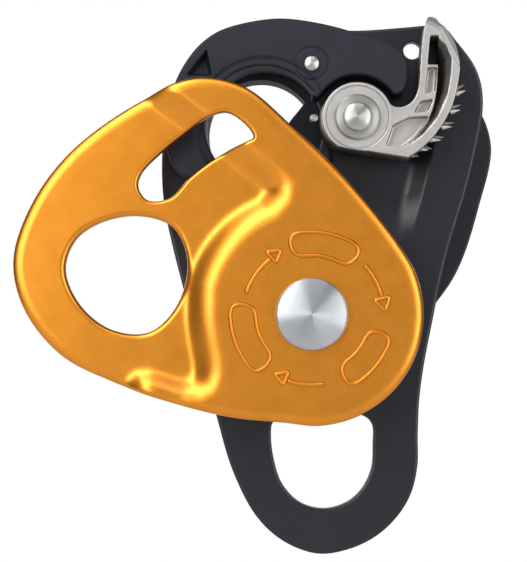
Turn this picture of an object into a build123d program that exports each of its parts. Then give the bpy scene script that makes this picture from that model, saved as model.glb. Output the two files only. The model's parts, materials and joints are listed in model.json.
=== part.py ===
from build123d import *

import math
import os

# Double rope pulley with a toothed holding cam.
#
# A middle plate carries everything. Two side plates, here called flanges, swing on one main axle, and a
# sheave runs on a sealed ball bearing in each gap. The cam works on the front sheave.
# Units are millimetres: X to the right, Y to the back, Z up. The origin is the centre of the connection
# hole, in the middle of the middle plate. The front flange is drawn swung open, and the cam latched up.

# ---------------------------------------------------------------- driving dimensions
HOLE_TO_AXLE_X, HOLE_TO_AXLE_Z = 11.2, -44.4  # main axle seen from the connection hole
HOLE_R = 13.75                                # connection hole in the middle plate
PLATE_T = 4.0                                 # middle plate
FLANGE_T = 3.0                                # swinging flanges
GAP_LOW, GAP_HIGH = 12.5, 15.6                # plate to flange: round the hole, over the sheave
INSERT_T = 9.5                                # moulded inserts on both faces of the middle plate

TREAD_R, SHEAVE_R, SHEAVE_W = 17.5, 22.6, 14.6
AXLE_R, AXLE_HEAD_R, AXLE_HEAD_T = 5.0, 8.3, 2.4
AXLE_TAIL_R, AXLE_WASHER_R = 6.15, 7.75       # riveted end of the main axle and the ring under it
BEARING_R, BEARING_W = 13.0, 8.0              # a 10 x 26 x 8 ball bearing
RACE_IN_R, RACE_OUT_R, PITCH_R = 7.3, 10.7, 9.0
BALL_R, BALL_COUNT = 2.25, 7

CAM_X, CAM_Z = 10.64, 45.74                   # cam pivot seen from the main axle
CAM_PIN_R, CAM_HEAD_R = 3.0, 3.4
CAM_HUB_R, CAM_BACK_R = 8.15, 8.9             # the casting tapers towards its face
CAM_BACK, CAM_FACE = -3.3, -13.5              # y of the cam's two faces
CAM_BUSH_R = 3.9
TOOTH_START, TOOTH_PITCH = -32.0, 10.0        # degrees round the cam pivot
TOOTH_R, TOOTH_R_GROWTH, TOOTH_LENGTH = 14.6, 0.198, 2.6

FLANGE_R = 25.4                               # flange edge round the main axle
BEND_R, BEND_HALF = 27.2, 1.9                 # middle line of the bend round the sheave, half width
CLOSING_ANGLE = 63.4                          # from drawn open to closed
RUN_FIT, FACE_GAP = 0.05, 0.1                 # hinge pin clearance, gap between sliding faces

FRONT_Y, BACK_Y = -PLATE_T / 2, PLATE_T / 2
SHEAVE_Y = PLATE_T / 2 + 0.5 + SHEAVE_W / 2   # distance of a sheave's middle from the plate's middle
WASHER_T = 0.45

os.makedirs("parts", exist_ok=True)


# ---------------------------------------------------------------- helpers
def save(name, shape):
    """Move a shape from main-axle coordinates to the part's frame and write it."""
    moved = Pos(HOLE_TO_AXLE_X, 0, HOLE_TO_AXLE_Z) * shape
    export_step(moved, f"parts/{name}.step")


def slab(face, y_front, y_back):
    """Extrude a face drawn in X and Z from y_back forward to y_front."""
    return extrude(Plane.XZ.offset(-y_back) * face, amount=y_back - y_front)


def turned(profile, closed=True):
    """Revolve points given as (radius, y) about the Y axis."""
    return revolve(make_face(Polyline(*profile, close=closed)), Axis.Y)


def ring(r_in, r_out, y_front, y_back):
    return slab(Circle(r_out) - Circle(r_in), y_front, y_back)


def mirrored(shape):
    """The same shape on the back side of the middle plate."""
    return mirror(shape, about=Plane.XZ)


def at_cam(shape):
    return Pos(CAM_X, 0, CAM_Z) * shape


def polar(radius, degrees):
    return (radius * math.cos(math.radians(degrees)), radius * math.sin(math.radians(degrees)))


def outline(*pieces):
    """One closed face from edges given in order; each piece is a list of points or an edge."""
    edges = [Polyline(*p) if isinstance(p, list) else p for p in pieces]
    return make_face(edges)


def disc(radius, y_front, y_back):
    return slab(Circle(radius), y_front, y_back)


def domed_head(radius, y_seat, y_top):
    """A rivet head: a straight skirt with a shallow spherical top."""
    rise = 0.65 * abs(y_top - y_seat)
    ball_r = (radius ** 2 + rise ** 2) / (2 * rise)
    centre = y_top + math.copysign(ball_r, y_seat - y_top)
    block = disc(radius, min(y_seat, y_top), max(y_seat, y_top))
    return block & (Pos(0, centre, 0) * Sphere(ball_r))


# ---------------------------------------------------------------- middle plate
def plate_face():
    sides = Spline((-35.6, 36.0), (-35.0, 26.0), (-33.0, 16.4), (-30.5, 6.6))
    becket_left = Spline((-22.5, -24.0), (-18.6, -37.0), (-12.9, -47.8), (1.6, -56.4))
    becket_right = Spline((1.6, -56.4), (15.6, -52.0), (23.6, -42.0), (25.2, -28.0))
    right = Spline((25.2, -28.0), (25.6, -19.8), (26.7, -11.7), (28.4, -3.0))
    right_top = Spline((28.4, -3.0), (31.7, 12.5), (38.1, 34.6), (40.9, 51.0), (39.3, 58.6), (34.1, 66.0))
    crown = Spline((23.4, 68.7), (10.4, 67.9), (-0.4, 68.6), (-8.5, 69.3), (-18.7, 67.5), (-23.3, 65.5))
    shoulder = Spline((-23.3, 65.5), (-27.6, 61.7), (-31.8, 54.7), (-34.7, 46.5), (-35.6, 36.0))
    ear = Spline((34.1, 66.0), (31.0, 68.7), (27.0, 69.0), (23.4, 68.7))
    return outline(sides, [(-30.5, 6.6), (-22.5, -24.0)], becket_left, becket_right, right, right_top,
                   ear, crown, shoulder)


HOLE_X, HOLE_Z = -HOLE_TO_AXLE_X, -HOLE_TO_AXLE_Z   # connection hole seen from the main axle
EAR_X, EAR_Z, EAR_R = 24.1, 63.1, 2.1               # small tether hole in the ear
RIVET_X, RIVET_Z, RIVET_R = 0.1, 58.5, 1.4          # rivet through both inserts
STOP_X, STOP_Z, STOP_R, STOP_RUN = -10.0, 0.65, 0.8, 0.3   # cam stop pin seen from the cam pivot
BACK_HOLE_X, BACK_HOLE_Z, BACK_HOLE_R = HOLE_X - 0.9, HOLE_Z - 0.7, 13.0   # hole edge of the back insert


def becket_face():
    """The lower hole: round below, nearly flat on top."""
    lower = Spline((-9.6, -28.5), (-7.0, -40.0), (2.7, -45.9), (11.8, -41.4), (14.6, -30.5))
    upper = [(14.6, -30.5), (14.4, -25.5), (12.4, -23.7), (-7.0, -23.7), (-9.4, -25.6), (-9.6, -28.5)]
    return outline(lower, upper)


def rope_relief():
    """Shallow hollow under the cam that runs out towards the sheave."""
    side = make_face(Polyline((-2.2, 16.5), (0.4, 29.0), (0.4, 46.0), (-2.2, 46.0), close=True))
    ramp = Pos(3, 0, 0) * extrude(Plane.YZ * side, amount=29)
    reach = make_face(Polyline((4.0, 16.0), (24.2, 16.0), (27.7, 31.6), (30.4, 43.0), (30.4, 46.0),
                               (4.0, 46.0), close=True))
    return ramp & slab(reach, -3, 0)


def middle_plate():
    face = plate_face() - Pos(HOLE_X, HOLE_Z) * Circle(HOLE_R) - Circle(AXLE_R) - becket_face()
    face -= Pos(EAR_X, EAR_Z) * Circle(EAR_R)
    face -= Pos(RIVET_X, RIVET_Z) * Circle(RIVET_R)
    face -= Pos(CAM_X, CAM_Z) * Circle(CAM_PIN_R)
    return slab(face, FRONT_Y, BACK_Y) - rope_relief()


# ---------------------------------------------------------------- inserts
INSERT_LOBE_R = 9.6                                 # clearance cut round the cam hub


def insert_face(hole_x, hole_z, hole_r):
    outer = Spline((-33.6, 38.0), (-33.6, 47.0), (-31.7, 54.6), (-27.5, 61.6), (-23.2, 65.4), (-18.7, 67.4),
                   (-8.5, 69.2), (-0.4, 68.5), (10.0, 65.9))
    nose = Spline((10.0, 65.9), (21.0, 61.2), (22.6, 57.1), (21.2, 51.6), (18.4, 51.2))
    face = outline(outer, nose, [(18.4, 51.2), (1.2, 48.0), (-2.0, 38.0), (-24.0, 33.0), (-30.0, 33.0),
                                 (-33.6, 38.0)])
    face -= Pos(hole_x, hole_z) * Circle(hole_r)
    face -= Pos(CAM_X, CAM_Z) * Circle(INSERT_LOBE_R + 0.6)
    return face


def largest(shape):
    return max(shape.solids(), key=lambda s: s.volume)


def front_insert():
    body = slab(insert_face(HOLE_X, HOLE_Z, HOLE_R), FRONT_Y - INSERT_T, FRONT_Y)
    body -= slab(Pos(RIVET_X, RIVET_Z) * Circle(RIVET_R), FRONT_Y - INSERT_T, FRONT_Y)
    pocket = make_face(Polyline((-24.4, 61.6), (-23.4, 56.4), (-29.2, 55.9), close=True))
    body -= slab(pocket, FRONT_Y - INSERT_T, FRONT_Y - INSERT_T + 3)
    body += slab(Pos(RIVET_X, RIVET_Z) * (Circle(3.9) - Circle(RIVET_R)), FRONT_Y - INSERT_T - 0.4,
                 FRONT_Y - INSERT_T)
    return largest(body)


def back_insert():
    """As the front one, with a straight-sided web where the front has its cam."""
    face = insert_face(BACK_HOLE_X, BACK_HOLE_Z, BACK_HOLE_R)
    web = make_face(Polyline((-0.6, 52.4), (-5.4, 46.4), (-5.4, 37.0), (8.0, 34.0), (14.0, 36.0),
                             (19.0, 52.0), (8.0, 60.0), close=True))
    face += web
    face -= Pos(RIVET_X, RIVET_Z) * Circle(RIVET_R)
    face -= Pos(CAM_X, CAM_Z) * Circle(CAM_HEAD_R + 1.2)
    return largest(slab(face, BACK_Y, BACK_Y + INSERT_T))


def insert_rivet():
    y_front = FRONT_Y - INSERT_T - 0.4
    y_back = BACK_Y + INSERT_T
    shank = disc(RIVET_R, y_front, y_back)
    heads = domed_head(1.65, y_front, y_front - 0.7) + domed_head(1.65, y_back, y_back + 0.7)
    return Pos(RIVET_X, 0, RIVET_Z) * (shank + heads)


# ---------------------------------------------------------------- main axle and its stack
FLANGE_IN = BACK_Y + GAP_HIGH                       # inner face of a flange at the axle
FLANGE_OUT = FLANGE_IN + FLANGE_T
SEAT = FLANGE_OUT + FACE_GAP                        # where the axle heads bear


def main_axle():
    shank = disc(AXLE_R, -SEAT, SEAT)
    head = domed_head(AXLE_HEAD_R, -SEAT, -SEAT - AXLE_HEAD_T)
    tail = domed_head(AXLE_TAIL_R, SEAT + 0.9, SEAT + AXLE_HEAD_T)
    return shank + head + tail + disc(AXLE_R, SEAT, SEAT + 0.9)


def inner_spacer():
    return ring(AXLE_R, 7.0, -SHEAVE_Y + BEARING_W / 2, FRONT_Y)


def outer_spacer():
    return ring(AXLE_R, 7.0, -FLANGE_IN + RUN_FIT + WASHER_T, -SHEAVE_Y - BEARING_W / 2)


def flange_washer():
    return ring(AXLE_R, 10.5, -FLANGE_IN + RUN_FIT, -FLANGE_IN + RUN_FIT + WASHER_T)


# ---------------------------------------------------------------- sheave and bearing, front side
def sheave():
    half = SHEAVE_W / 2
    lip_r = BEARING_R - 0.8
    groove = ThreePointArc((SHEAVE_R - 1.0, -5.9), (TREAD_R, 0), (SHEAVE_R - 1.0, 5.9))
    walls = [(SHEAVE_R - 1.0, 5.9), (SHEAVE_R, 6.2), (SHEAVE_R, half), (lip_r, half), (lip_r, BEARING_W / 2),
             (BEARING_R, BEARING_W / 2), (BEARING_R, -half), (SHEAVE_R, -half), (SHEAVE_R, -6.2),
             (SHEAVE_R - 1.0, -5.9)]
    return Pos(0, -SHEAVE_Y, 0) * revolve(outline(groove, walls), Axis.Y)


def race_groove():
    return Rot(90, 0, 0) * Torus(PITCH_R, BALL_R + 0.15)


def bearing_inner_ring():
    half = BEARING_W / 2
    return Pos(0, -SHEAVE_Y, 0) * (ring(AXLE_R, RACE_IN_R, -half, half) - race_groove())


def bearing_outer_ring():
    half = BEARING_W / 2
    return Pos(0, -SHEAVE_Y, 0) * (ring(RACE_OUT_R, BEARING_R, -half, half) - race_groove())


def ball_places():
    return [Rot(0, 360 * i / BALL_COUNT, 0) * Pos(PITCH_R, 0, 0) for i in range(BALL_COUNT)]


def bearing_balls():
    return Compound(children=[Pos(0, -SHEAVE_Y, 0) * place * Sphere(BALL_R) for place in ball_places()])


def bearing_cage():
    cage = ring(PITCH_R - 0.9, PITCH_R + 0.9, -2.7, 2.7)
    for place in ball_places():
        cage -= place * Sphere(BALL_R + 0.08)
    return Pos(0, -SHEAVE_Y, 0) * cage


def bearing_seals():
    half = BEARING_W / 2
    near = ring(RACE_IN_R + 0.3, RACE_OUT_R, -half + 0.1, -half + 0.7)
    far = ring(RACE_IN_R + 0.3, RACE_OUT_R, half - 0.7, half - 0.1)
    return Pos(0, -SHEAVE_Y, 0) * Compound(children=[near, far])


# ---------------------------------------------------------------- flanges
def flange_rim(points, start_deg, end_deg):
    """Closed outline: the listed points as one smooth curve, then an arc round the main axle."""
    start, end = polar(FLANGE_R, start_deg), polar(FLANGE_R, end_deg)
    into = polar(1, start_deg - 90)
    out = polar(1, end_deg - 90)
    curve = Spline(start, *points, end, tangents=(into, out))
    middle = polar(FLANGE_R, (start_deg + end_deg) / 2 - 180)
    return make_face([curve, ThreePointArc(end, middle, start)])


def front_flange_face():
    """Outline of the front flange, drawn open, with its connection hole and cam slot."""
    rim = flange_rim([(-18.0, -23.5), (-32.0, -20.1), (-46.0, -15.3), (-57.6, -9.3), (-66.1, 1.2),
                      (-68.7, 12.5), (-64.2, 26.0), (-54.8, 38.2), (-38.0, 49.8), (-26.3, 54.1), (-15.4, 52.0),
                      (-4.7, 43.2), (7.3, 31.5)], 255, 42)
    hole = Spline((-56.6, 10.4), (-54.2, 17.2), (-48.2, 21.2), (-39.6, 22.6), (-31.9, 20.0), (-28.5, 12.0),
                  (-31.0, 2.0), (-37.4, -4.1), (-46.2, -3.4), (-53.4, 2.4), periodic=True)
    return rim - make_face([hole]) - slot_face()


def slot_face():
    """Slot concentric with the main axle: round at the cam axle's end, slanted at the other."""
    r_in, r_out = 42.1, 50.8
    inner = ThreePointArc(polar(r_in, 140.5), polar(r_in, 125), polar(r_in, 110.6))
    nose = Spline(polar(r_in, 110.6), (-13.3, 40.3), (-14.4, 42.6), (-19.6, 46.2), polar(r_out, 116.6))
    outer = ThreePointArc(polar(r_out, 116.6), polar(r_out, 128), polar(r_out, 141.0))
    tail = Spline(polar(r_out, 141.0), (-39.9, 29.2), (-37.3, 25.9), polar(r_in, 140.5))
    return make_face([inner, nose, outer, tail])


def raised_face():
    """The part of the flange that stands off further, to clear the sheave and the cam lever."""
    inward = [(-35.2, 50.4), (-26.3, 43.8), (-17.2, 37.3), (-8.6, 29.2), polar(BEND_R, 108)]
    round_sheave = ThreePointArc(polar(BEND_R, 108), polar(BEND_R, 160), polar(BEND_R, 207))
    foot = ThreePointArc(polar(BEND_R, 207), (-25.8, -15.4), (-29.0, -16.6))
    outside = [(-29.0, -16.6), (-50.0, -12.5), (-50.0, -40.0), (40.0, -40.0), (40.0, 70.0), (-25.0, 70.0),
               (-45.0, 59.0), (-35.2, 50.4)]
    return outline(inward, round_sheave, foot, outside)


def jogged(face, raised):
    """Two levels of one sheet, joined by a wall along the edge of the raised area."""
    low_in = -BACK_Y - GAP_LOW
    inner_edge = offset(raised, amount=-BEND_HALF)
    outer_edge = offset(raised, amount=BEND_HALF)
    high = slab(face & raised, -FLANGE_OUT, -FLANGE_IN)
    low = slab(face - inner_edge, low_in - FLANGE_T, low_in)
    wall = slab(face & (outer_edge - inner_edge), -FLANGE_OUT + 0.6, low_in - 0.6)
    return high + low + wall


def front_flange():
    face = front_flange_face() - Circle(AXLE_R + RUN_FIT)
    return largest(jogged(face, raised_face()))


def back_flange():
    """Drawn closed, in front-side coordinates, then mirrored to the back."""
    rim = flange_rim([(-28.5, 3.0), (-32.2, 18.0), (-33.9, 36.0), (-31.5, 54.0), (-22.0, 65.2), (-8.0, 67.6),
                      (9.0, 65.4), (26.0, 58.4), (40.0, 53.6), (44.9, 43.0), (41.8, 27.0), (36.0, 10.4)],
                     195, -12)
    raised = Rot(0, 0, -CLOSING_ANGLE) * raised_face()
    wide = make_face(Polyline((12.0, 20.0), (60.0, 0.0), (60.0, 60.0), (34.0, 64.0), close=True))
    face = rim - Pos(HOLE_X, HOLE_Z) * Circle(HOLE_R + 0.2) - Circle(AXLE_R + RUN_FIT)
    return mirrored(largest(jogged(face, raised + wide)))


# ---------------------------------------------------------------- cam
def cam_outline():
    """Hub side, toothed side, a tip with a small nub, and the thumb side."""
    tooth_side = Spline((11.6, -9.4), (14.6, -7.4), (17.2, -4.9), (20.0, -1.2), (22.2, 3.4), (23.4, 8.4),
                        (23.9, 13.0), (23.6, 17.2), (22.2, 20.4), (20.0, 22.6))
    thumb_side = Spline((15.6, 21.0), (15.0, 17.4), (14.5, 11.0), (14.0, 6.4), (12.4, 3.4), (9.6, 2.3),
                        (6.6, 4.6))
    nub = ThreePointArc((19.5, 23.2), (18.0, 24.8), (16.5, 23.2))
    return outline(tooth_side, Line((20.0, 22.6), (19.5, 23.2)), nub, Line((16.5, 23.2), (15.6, 21.0)),
                   thumb_side, [(6.6, 4.6), (-3.0, -7.0), (11.6, -9.4)])


def cam_hub():
    """Tapered hub, cut flat along its lower side."""
    hub = turned([(0, CAM_BACK), (CAM_BACK_R, CAM_BACK), (CAM_HUB_R, CAM_FACE), (0, CAM_FACE)])
    below = make_face(Polyline((-20.0, -4.1), (20.0, -11.2), (20.0, -30.0), (-20.0, -30.0), close=True))
    return hub - slab(below, CAM_FACE, CAM_BACK)


def cam_bevel(start, end, deep, reach):
    """Wedge that slopes the face back outside the line from start to end (both in X and Z)."""
    along = Vector(end[0] - start[0], 0, end[1] - start[1])
    outward = Vector(0, 1, 0).cross(along).normalized()
    length = along.length
    origin = Vector(start[0], CAM_FACE, start[1]) - along.normalized() * length / 2
    section = Plane(origin=origin, x_dir=outward, z_dir=along)
    backward = section.y_dir.Y
    wedge = make_face(section * Polyline((0, 0), (2 * reach, 2 * deep * backward), (2 * reach, -4 * backward),
                                         (0, -4 * backward), close=True))
    return extrude(wedge, amount=2 * length, dir=along.normalized())


def cam_pockets():
    """Hollows in the face of the lever: a deep trough inside the rim, three floors and a cord hole."""
    trough = outline(Spline((18.9, 18.2), (20.6, 16.8), (21.8, 13.8), (21.7, 10.4), (20.9, 5.6), (18.6, 0.2),
                            (15.4, -3.8), (12.0, -6.4), (9.8, -7.3)),
                     Spline((9.8, -7.3), (13.6, -4.4), (16.6, -0.2), (18.0, 4.2), (18.6, 10.0), (18.9, 18.2)))
    cord_hole = make_face(Polyline((16.9, 18.9), (18.9, 18.9), (19.3, 12.2), (16.3, 12.2), close=True))
    floors = [[(16.3, 11.5), (18.5, 11.5), (18.0, 5.9), (15.6, 5.4)],
              [(14.6, 3.6), (17.6, 4.2), (16.2, 1.4), (13.0, 0.9)],
              [(11.9, -0.1), (16.6, 0.2), (13.8, -4.0), (10.4, -6.9), (6.6, -6.5), (8.2, -1.9)]]
    hollow = slab(trough, CAM_FACE, CAM_BACK - 2.5) + slab(cord_hole, CAM_FACE, CAM_BACK)
    for corners in floors:
        hollow += slab(make_face(Polyline(*corners, close=True)), CAM_FACE, CAM_FACE + 2.4)
    return hollow


def cam_teeth():
    """Two staggered rows of small spikes leaning towards the tip of the lever."""
    teeth = []
    for row, y in enumerate((-6.0, -10.4)):
        for i in range(6):
            angle = TOOTH_START + TOOTH_PITCH * (i - 0.4 * row)
            seat = polar(TOOTH_R + TOOTH_R_GROWTH * (angle - TOOTH_START), angle)
            lean = 0.8 * angle + 8
            tooth = Cone(0.8, 0.12, TOOTH_LENGTH, align=(Align.CENTER, Align.CENTER, Align.MIN))
            teeth.append(Pos(seat[0], y, seat[1]) * Rot(0, 90 - lean, 0) * tooth)
    return teeth


def cam():
    body = slab(cam_outline(), CAM_FACE, CAM_BACK) + cam_hub()
    body -= cam_bevel((21.9, 14.6), (18.9, 20.4), 7.5, 3.0)
    body -= cam_bevel((18.9, 20.4), (16.2, 21.9), 6.0, 2.4)
    for tooth in cam_teeth():
        body += tooth
    body -= cam_pockets()
    body -= disc(CAM_BUSH_R, CAM_FACE, CAM_BACK)
    body -= disc(7.25, CAM_FACE, CAM_FACE + 0.8)
    body -= disc(6.2, CAM_BACK - 3.6, CAM_BACK)
    return at_cam(largest(body))


def cam_cover_disc():
    return at_cam(ring(CAM_BUSH_R, 7.2, CAM_FACE + 0.05, CAM_FACE + 0.8))


def cam_bush():
    return at_cam(ring(CAM_PIN_R + RUN_FIT, CAM_BUSH_R, CAM_FACE + 0.05, FRONT_Y - 0.2))


CAM_SEAT = CAM_FACE - FACE_GAP                      # back of the stepped washer


def cam_washer():
    """Stepped washer under the head of the cam axle."""
    profile = [(CAM_PIN_R, CAM_SEAT), (5.3, CAM_SEAT), (5.3, CAM_SEAT - 0.35), (4.9, CAM_SEAT - 0.7),
               (CAM_PIN_R, CAM_SEAT - 0.7)]
    return at_cam(turned(profile))


def cam_axle():
    """Pin riveted through the middle plate, with a domed head on the cam side."""
    head_seat = CAM_SEAT - 0.7
    pin = disc(CAM_PIN_R, head_seat, BACK_Y)
    return at_cam(pin + domed_head(CAM_HEAD_R, head_seat, head_seat - 1.4)
                  + domed_head(CAM_HEAD_R + 0.6, BACK_Y, BACK_Y + 1.2))


def cam_spring():
    """Torsion spring in the back of the cam, three turns of round wire."""
    coil_r, wire_r, pitch, turns = 5.0, 0.4, 1.0, 3
    path = Helix(pitch, pitch * turns, coil_r)
    section = Plane(path @ 0, z_dir=path % 0) * Circle(wire_r)
    wire = sweep(section, path=path)
    return at_cam(Pos(0, CAM_BACK, 0) * Rot(90, 0, 0) * wire)


def cam_stop_pin():
    face = Pos(STOP_X, STOP_Z) * SlotCenterToCenter(STOP_RUN, 2 * STOP_R)
    return at_cam(slab(face, FRONT_Y - 5.0, FRONT_Y))


# ---------------------------------------------------------------- write every node
def main():
    save("middle_plate", middle_plate())
    save("front_insert", front_insert())
    save("back_insert", back_insert())
    save("insert_rivet", insert_rivet())
    save("main_axle", main_axle())
    save("axle_back_washer", mirrored(ring(AXLE_R, AXLE_WASHER_R, -SEAT - 0.9, -SEAT)))
    for build in (inner_spacer, outer_spacer, flange_washer, sheave, bearing_inner_ring, bearing_outer_ring,
                  bearing_balls, bearing_cage, bearing_seals):
        shape = build()
        save(f"front_{build.__name__}", shape)
        save(f"back_{build.__name__}", mirrored(shape))
    save("front_flange", front_flange())
    save("back_flange", back_flange())
    save("cam", cam())
    for build in (cam_cover_disc, cam_bush, cam_washer, cam_axle, cam_spring, cam_stop_pin):
        save(build.__name__, build())


main()
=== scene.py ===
# Looks of the double rope pulley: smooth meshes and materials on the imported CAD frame.
import json
import math

import bpy
import numpy as np
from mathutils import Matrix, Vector
from mathutils.geometry import delaunay_2d_cdt
from mathutils.kdtree import KDTree


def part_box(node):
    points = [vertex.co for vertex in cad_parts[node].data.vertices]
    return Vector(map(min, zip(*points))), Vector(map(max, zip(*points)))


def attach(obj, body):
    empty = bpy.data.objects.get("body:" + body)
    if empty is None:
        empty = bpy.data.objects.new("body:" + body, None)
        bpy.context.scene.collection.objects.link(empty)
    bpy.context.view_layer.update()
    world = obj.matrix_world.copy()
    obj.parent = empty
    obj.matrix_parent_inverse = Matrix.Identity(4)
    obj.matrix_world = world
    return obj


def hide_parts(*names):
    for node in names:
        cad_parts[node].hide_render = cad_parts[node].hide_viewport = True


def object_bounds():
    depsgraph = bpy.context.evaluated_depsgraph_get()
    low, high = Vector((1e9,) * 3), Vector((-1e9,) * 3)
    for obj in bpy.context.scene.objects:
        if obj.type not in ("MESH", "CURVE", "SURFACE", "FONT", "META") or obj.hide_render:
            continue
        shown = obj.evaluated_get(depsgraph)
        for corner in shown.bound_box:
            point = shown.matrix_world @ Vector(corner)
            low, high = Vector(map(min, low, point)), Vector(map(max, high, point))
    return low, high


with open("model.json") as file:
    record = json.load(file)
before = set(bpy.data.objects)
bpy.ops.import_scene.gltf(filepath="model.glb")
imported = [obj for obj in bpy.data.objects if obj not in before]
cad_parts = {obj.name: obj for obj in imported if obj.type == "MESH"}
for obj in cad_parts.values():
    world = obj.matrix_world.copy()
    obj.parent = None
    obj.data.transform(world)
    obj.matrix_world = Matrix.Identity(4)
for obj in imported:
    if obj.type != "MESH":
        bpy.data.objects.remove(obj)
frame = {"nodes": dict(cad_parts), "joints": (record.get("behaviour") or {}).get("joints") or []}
cad_box = [list(corner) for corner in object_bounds()]

JOINT = {joint["name"]: joint for joint in frame["joints"]}
AXLE = Vector(JOINT["front_flange_swing"]["pos_m"]) * 1000     # millimetres, like everything drawn below
CAM = Vector(JOINT["cam_pivot"]["pos_m"]) * 1000 - AXLE        # cam pivot seen from the main axle
PLATE_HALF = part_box("middle_plate")[1].y * 1000
FLANGE_OUT = -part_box("front_flange")[0].y * 1000               # outer face over the sheave
FLANGE_T = 3.0
FLANGE_LOW = -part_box("front_flange")[1].y * 1000 + FLANGE_T    # outer face round the connection hole
INSERT_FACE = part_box("back_insert")[1].y * 1000
CAM_FACE, CAM_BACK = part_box("cam")[0].y * 1000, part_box("cam")[1].y * 1000
FLANGE_R = 25.4                                                # flange edge round the main axle
BEND_R = 26.8                                                  # middle line of the bend round the sheave
CLOSING_ANGLE = math.radians(63.4)                             # from open to closed
HOLE = (-AXLE.x, -AXLE.z)                                      # connection hole seen from the main axle
HOLE_R = 13.75
BORE_R = 5.0                                                   # main axle
RIVET = (0.1, 58.5)                                            # rivet through both inserts
TREAD_R, GROOVE_R, SHEAVE_R, BEARING_R = 17.5, 6.3, 22.6, 13.0
CAST_VOXEL, CAST_SOFTENING = 0.00017, 3                        # metres; smoothing passes on the casting


# ---------------------------------------------------------------- curves, all in X and Z about the main axle
def polar(radius, degrees):
    return (radius * math.cos(math.radians(degrees)), radius * math.sin(math.radians(degrees)))


def circle(centre, radius, count=96):
    angle = np.linspace(0, 2 * np.pi, count, endpoint=False)
    return np.column_stack([centre[0] + radius * np.cos(angle), centre[1] + radius * np.sin(angle)])


def smooth_loop(points, step=0.5):
    """Closed centripetal Catmull-Rom curve through the points, sampled evenly."""
    p = np.array(points, float)
    n = len(p)
    out = []
    for i in range(n):
        a, b, c, d = p[(i - 1) % n], p[i], p[(i + 1) % n], p[(i + 2) % n]
        t0 = 0.0
        t1 = t0 + max(np.linalg.norm(b - a), 1e-6) ** 0.5
        t2 = t1 + max(np.linalg.norm(c - b), 1e-6) ** 0.5
        t3 = t2 + max(np.linalg.norm(d - c), 1e-6) ** 0.5
        t = np.linspace(t1, t2, max(4, int(np.linalg.norm(c - b) / 0.2)), endpoint=False)[:, None]
        ab = (t1 - t) / (t1 - t0) * a + (t - t0) / (t1 - t0) * b
        bc = (t2 - t) / (t2 - t1) * b + (t - t1) / (t2 - t1) * c
        cd = (t3 - t) / (t3 - t2) * c + (t - t2) / (t3 - t2) * d
        abc = (t2 - t) / (t2 - t0) * ab + (t - t0) / (t2 - t0) * bc
        bcd = (t3 - t) / (t3 - t1) * bc + (t - t1) / (t3 - t1) * cd
        out.append((t2 - t) / (t2 - t1) * abc + (t - t1) / (t2 - t1) * bcd)
    return resample(np.vstack(out), step)


def resample(loop, step):
    """The closed loop again with evenly spaced points."""
    closed = np.vstack([loop, loop[:1]])
    run = np.concatenate([[0], np.cumsum(np.linalg.norm(np.diff(closed, axis=0), axis=1))])
    count = max(12, int(round(run[-1] / step)))
    at = np.linspace(0, run[-1], count, endpoint=False)
    return np.column_stack([np.interp(at, run, closed[:, k]) for k in (0, 1)])


def rounded_polygon(corners, radius, step=0.3):
    """Closed polygon with every corner rounded."""
    p = np.array(corners, float)
    out = []
    for i in range(len(p)):
        a, b, c = p[i - 1], p[i], p[(i + 1) % len(p)]
        u, v = (a - b) / np.linalg.norm(a - b), (c - b) / np.linalg.norm(c - b)
        r = min(radius, 0.45 * np.linalg.norm(a - b), 0.45 * np.linalg.norm(c - b))
        for t in np.linspace(0, 1, 7):
            out.append((1 - t) ** 2 * (b + u * r) + 2 * t * (1 - t) * b + t ** 2 * (b + v * r))
    return resample(np.array(out), step)


def turn(points, angle):
    c, s = math.cos(angle), math.sin(angle)
    return np.array(points, float) @ np.array([[c, s], [-s, c]])


def area(loop):
    x, z = loop[:, 0], loop[:, 1]
    return 0.5 * float(np.sum(x * np.roll(z, -1) - np.roll(x, -1) * z))


def inward(loop, is_hole):
    """Unit normals that point into the material."""
    tangent = np.roll(loop, -1, 0) - np.roll(loop, 1, 0)
    tangent /= np.linalg.norm(tangent, axis=1)[:, None]
    normal = np.column_stack([-tangent[:, 1], tangent[:, 0]])
    side = 1 if area(loop) > 0 else -1
    return normal * (-side if is_hole else side)


def inside(points, loop):
    x, z = points[:, 0][:, None], points[:, 1][:, None]
    x0, z0 = loop[:, 0][None], loop[:, 1][None]
    x1, z1 = np.roll(loop[:, 0], -1)[None], np.roll(loop[:, 1], -1)[None]
    crosses = ((z0 > z) != (z1 > z)) & (x < (x1 - x0) * (z - z0) / np.where(z1 == z0, 1e-12, z1 - z0) + x0)
    return crosses.sum(1) % 2 == 1


def distance(points, loop):
    """Distance from each point to the closed loop."""
    best = np.full(len(points), 1e9)
    ends = np.roll(loop, -1, 0)
    for a, b in zip(loop, ends):
        d = b - a
        t = np.clip(((points - a) @ d) / max(d @ d, 1e-12), 0, 1)[:, None]
        best = np.minimum(best, np.linalg.norm(points - (a + t * d), axis=1))
    return best


def rows(loop, offsets, step=0.5):
    """Points in rows beside a closed loop, at the given distances (positive is inside)."""
    even = resample(loop, step)
    inwards = inward(even, False)
    out = []
    for offset in offsets:
        row = even + inwards * offset
        out.append(row[np.abs(distance(row, even) - abs(offset)) < 0.1])
    return np.vstack(out)


def apart(points, others, gap):
    """The points that have none of the others within the gap."""
    tree = KDTree(len(others))
    for i, other in enumerate(others):
        tree.insert((other[0], other[1], 0), i)
    tree.balance()
    return points[[tree.find((x, z, 0))[2] > gap for x, z in points]]


def ease(t):
    t = np.clip(t, 0, 1)
    return t * t * (3 - 2 * t)


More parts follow.
